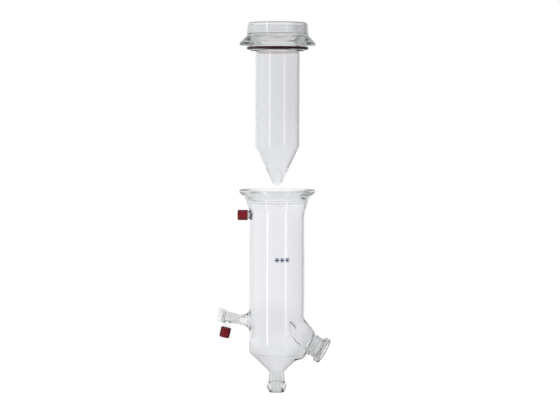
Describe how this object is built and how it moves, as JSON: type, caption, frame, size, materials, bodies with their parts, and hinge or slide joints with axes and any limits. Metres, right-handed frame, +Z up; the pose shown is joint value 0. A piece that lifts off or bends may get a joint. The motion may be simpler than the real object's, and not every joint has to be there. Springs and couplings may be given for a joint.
{
  "type": "cold finger condenser",
  "caption": "Glass dry-ice condenser: flanged jacket with side ports and a ball-joint outlet, and a pointed cold finger with its O-ring held above it.",
  "frame": {"origin": "centre of the ball of the receiver joint at the jacket's lower end, on the jacket's axis", "axes": "+Z up along the jacket's axis; -X towards the vacuum port and the feed valve; the vapour neck leaves down to the right, 13 degrees from +X towards -Y"},
  "size_m": [0.2088, 0.138, 0.6745],
  "materials": {
    "jacket_glass": "clear blown borosilicate",
    "finger_glass": "clear blown borosilicate",
    "flange_rubber": "moulded, dull sheen",
    "cap_plastic": "moulded, ribbed",
    "liner": "faced silicone disc",
    "plug_ptfe": "turned, waxy",
    "plug_rubber": "moulded",
    "blue_enamel": "fired print"
  },
  "bodies": {
    "jacket": {"condenser_jacket": "jacket_glass", "printed_mark": "blue_enamel"},
    "flange_seal": {"flange_seal": "flange_rubber"},
    "cold_finger": {"cold_finger": "finger_glass"},
    "vacuum_liner": {"vacuum_cap_liner": "liner"},
    "vacuum_cap": {"vacuum_cap": "cap_plastic"},
    "feed_liner": {"feed_cap_liner": "liner"},
    "feed_cap": {"feed_cap": "cap_plastic"},
    "plug_ring": {"feed_plug_seal": "plug_rubber"},
    "feed_plug": {"feed_valve_plug": "plug_ptfe"}
  },
  "joints": [
    {"name": "finger_lift", "type": "slide", "parent": "jacket", "child": "flange_seal", "axis": [0, 0, 1], "range_m": [-0.25438, 0.04]},
    {"name": "finger_press", "type": "slide", "parent": "flange_seal", "child": "cold_finger", "axis": [0, 0, 1], "range_m": [-0.00258, 0]},
    {"name": "vacuum_cap_travel", "type": "slide", "parent": "jacket", "child": "vacuum_liner", "axis": [-1, 0, 0], "range_m": [0, 0.0101]},
    {"name": "vacuum_cap_turn", "type": "hinge", "parent": "vacuum_liner", "child": "vacuum_cap", "pos_m": [-0.072, 0, 0.3126], "axis": [-1, 0, 0], "range_deg": [0, 1440]},
    {"name": "feed_cap_travel", "type": "slide", "parent": "jacket", "child": "feed_liner", "axis": [-0.2164, 0, -0.9763], "range_m": [0, 0.0101]},
    {"name": "feed_cap_turn", "type": "hinge", "parent": "feed_liner", "child": "feed_cap", "pos_m": [-0.09652, 0, 0.08827], "axis": [-0.2164, 0, -0.9763], "range_deg": [0, 1440]},
    {"name": "plug_pull", "type": "slide", "parent": "jacket", "child": "plug_ring", "axis": [-0.9763, 0, 0.2164], "range_m": [0, 0.04]},
    {"name": "plug_turn", "type": "hinge", "parent": "plug_ring", "child": "feed_plug", "pos_m": [0, 0, 0.106], "axis": [-0.9763, 0, 0.2164], "continuous": true}
  ],
  "couplings": [
    {"joint": "vacuum_cap_travel", "follows": "vacuum_cap_turn", "m_per_rad": 0.00039789},
    {"joint": "feed_cap_travel", "follows": "feed_cap_turn", "m_per_rad": 0.00039789}
  ]
}
